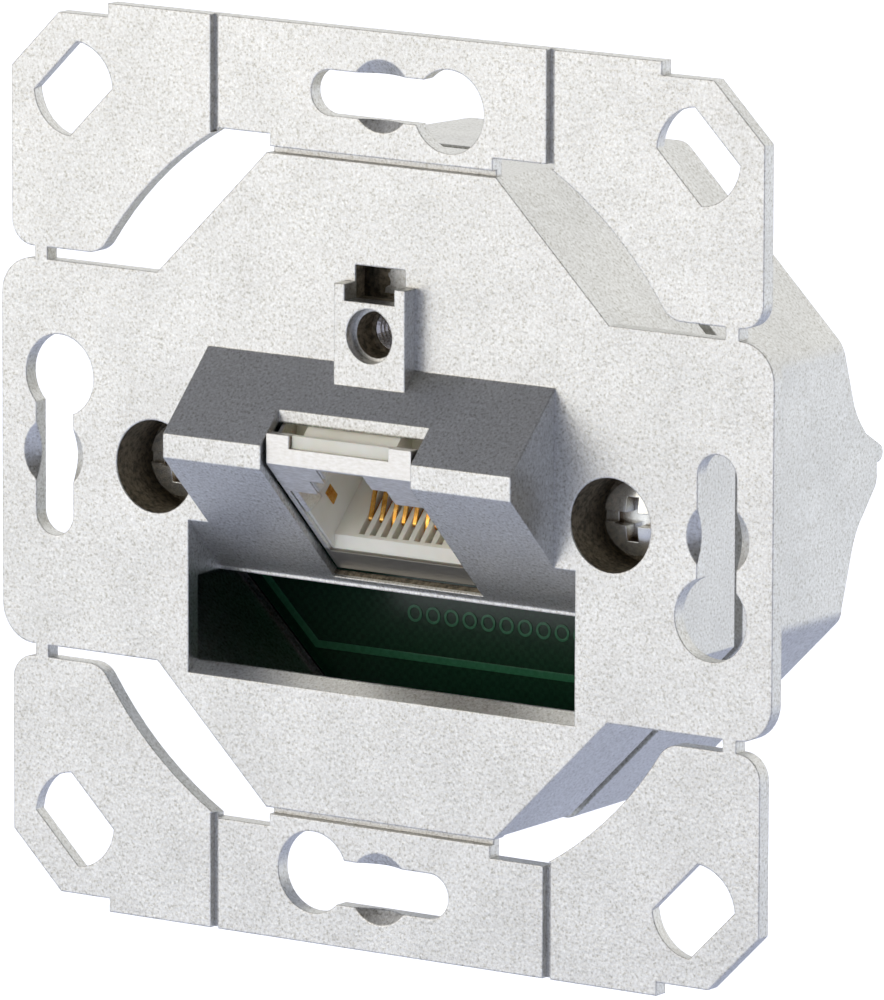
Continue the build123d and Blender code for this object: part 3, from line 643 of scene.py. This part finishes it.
# Soft light by side: the direction of each zone's middle, its half width in degrees and its
# light
ZONES = {
    "left_front": ((-0.554, -0.812, -0.10), 45, (2.32, 2.22, 2.08)),
    "left_above": ((-0.554, -0.185, 0.812), 45, (0.15, 0.16, 0.20)),
    "left_behind": ((-0.554, 0.812, 0.185), 45, (0.15, 0.15, 0.16)),
    "right_behind": ((0.554, 0.812, 0.00), 45, (0.85, 0.88, 1.00)),
    "high_behind": ((0.10, 0.75, 0.65), 45, (1.05, 1.13, 1.32)),
    "left": ((-1.0, 0.0, 0.1), 45, (0.10, 0.10, 0.11)),
    "right": ((1.0, 0.0, 0.1), 40, (0.05, 0.05, 0.05)),
    "right_front": ((0.6, -0.72, 0.35), 45, (0.05, 0.05, 0.05)),
    "right_above": ((0.5, 0.1, 0.86), 42, (0.24, 0.24, 0.26)),
}
# Even light on dull surfaces from all sides
PLAIN_LIGHT = (0.35, 0.35, 0.35)
# The white background that metal shows lies behind the object
BACKGROUND = (-0.1, 0.9, 0.45)
BACKGROUND_FULL = 25
BACKGROUND_GONE = 75
# Square soft box at the left: its place, size and power in metres and watts, and its colour
KEY_PLACE = (-0.61, -0.893, -0.12)
KEY_SIZE = 0.5
KEY_POWER = 0.2
KEY_COLOR = (1.0, 0.98, 0.94)


def studio_floor():
    mesh = bmesh.new()
    bmesh.ops.create_grid(mesh, x_segments=4, y_segments=4, size=FLOOR_SIZE)
    data = bpy.data.meshes.new("studio_floor")
    mesh.to_mesh(data)
    mesh.free()
    floor = bpy.data.objects.new("studio_floor", data)
    floor.location.z = FLOOR_Z
    bpy.context.scene.collection.objects.link(floor)
    g = Finish("studio_floor")
    rays = g.add("ShaderNodeLightPath").outputs
    away = g.vector("LENGTH", g.place, output="Value")
    side = g.vector("DOT_PRODUCT", g.vector("NORMALIZE", g.place), DARK_SIDE, output="Value")
    far = g.range(away, 0.0, 1.0, start=FAR_FROM, end=FAR_TO)
    lit = g.range(side, 1.0, 0.0, start=DARK_FROM, end=DARK_TO)
    under = g.mix(g.math("MULTIPLY", far, lit), (*FLOOR_GLOW, 1.0), (*FLOOR_FAR, 1.0))
    glow = g.mix(rays["Is Camera Ray"], under, (*FLOOR_WHITE, 1.0))
    g.set(Base_Color=(*FLOOR_COLOR, 1.0), Roughness=0.9)
    g.set(Emission_Color=glow, Emission_Strength=1.0)
    data.materials.append(g.material)


def studio_world():
    world = bpy.data.worlds.new("studio")
    bpy.context.scene.world = world
    world.use_nodes = True
    world.cycles.sampling_method = "NONE"
    world.node_tree.nodes.clear()
    g = Graph(world.node_tree)
    way = g.add("ShaderNodeTexCoord").outputs["Generated"]

    def zone(middle, gone, full=0.0):
        """One at the middle of a zone, falling to nothing at the angle gone."""
        near = g.vector("DOT_PRODUCT", way, Vector(middle).normalized(), output="Value")
        gone, full = cos(radians(gone)), cos(radians(full))
        return g.range(near, 0.0, 1.0, start=gone, end=full, interpolation_type="SMOOTHSTEP")

    total = (0.0, 0.0, 0.0)
    for middle, width, light in ZONES.values():
        total = g.vector("ADD", total, g.scale(light, zone(middle, width)))
    rays = g.add("ShaderNodeLightPath").outputs
    plain = g.scale(PLAIN_LIGHT, rays["Is Diffuse Ray"])
    lit = g.add("ShaderNodeBackground", {"Color": g.mix(1.0, total, plain, blend="ADD")})
    white = g.add("ShaderNodeBackground", {"Color": (1.0, 1.0, 1.0, 1.0)})
    behind = zone(BACKGROUND, BACKGROUND_GONE, BACKGROUND_FULL)
    shown = g.math("MULTIPLY", rays["Is Glossy Ray"], behind)
    clear = g.math("ADD", rays["Is Camera Ray"], rays["Is Transmission Ray"])
    values = {0: g.math("ADD", clear, shown), 1: lit.outputs[0], 2: white.outputs[0]}
    both = g.add("ShaderNodeMixShader", values)
    g.add("ShaderNodeOutputWorld", {"Surface": both.outputs[0]})


def key_light():
    data = bpy.data.lights.new("key", "AREA")
    data.shape = "SQUARE"
    data.size = KEY_SIZE
    data.energy = KEY_POWER
    data.color = KEY_COLOR
    obj = bpy.data.objects.new("key", data)
    obj.location = KEY_PLACE
    obj.rotation_euler = Vector(KEY_PLACE).to_track_quat("Z", "Y").to_euler()
    bpy.context.scene.collection.objects.link(obj)


def photo_camera():
    azimuth = radians(CAMERA_AZIMUTH)
    elevation = radians(CAMERA_ELEVATION)
    back = Vector((sin(azimuth) * cos(elevation), -cos(azimuth) * cos(elevation), sin(elevation)))
    level = Vector((0, 0, 1)).cross(back).normalized()
    upright = back.cross(level)
    roll = radians(CAMERA_ROLL)
    right = level * cos(roll) + upright * sin(roll)
    up = upright * cos(roll) - level * sin(roll)
    data = bpy.data.cameras.new("photo_camera")
    data.sensor_width = SENSOR_MM
    data.lens = SENSOR_MM * FOCAL_PIXELS / PICTURE_HEIGHT
    camera = bpy.data.objects.new("photo_camera", data)
    turn = Matrix((right, up, back)).transposed().to_4x4()
    camera.matrix_world = Matrix.Translation(CAMERA_TARGET + back * CAMERA_DISTANCE) @ turn
    bpy.context.scene.collection.objects.link(camera)
    bpy.context.scene.camera = camera


studio_floor()
studio_world()
photo_camera()
key_light()

bpy.context.scene.view_settings.view_transform = "Standard"
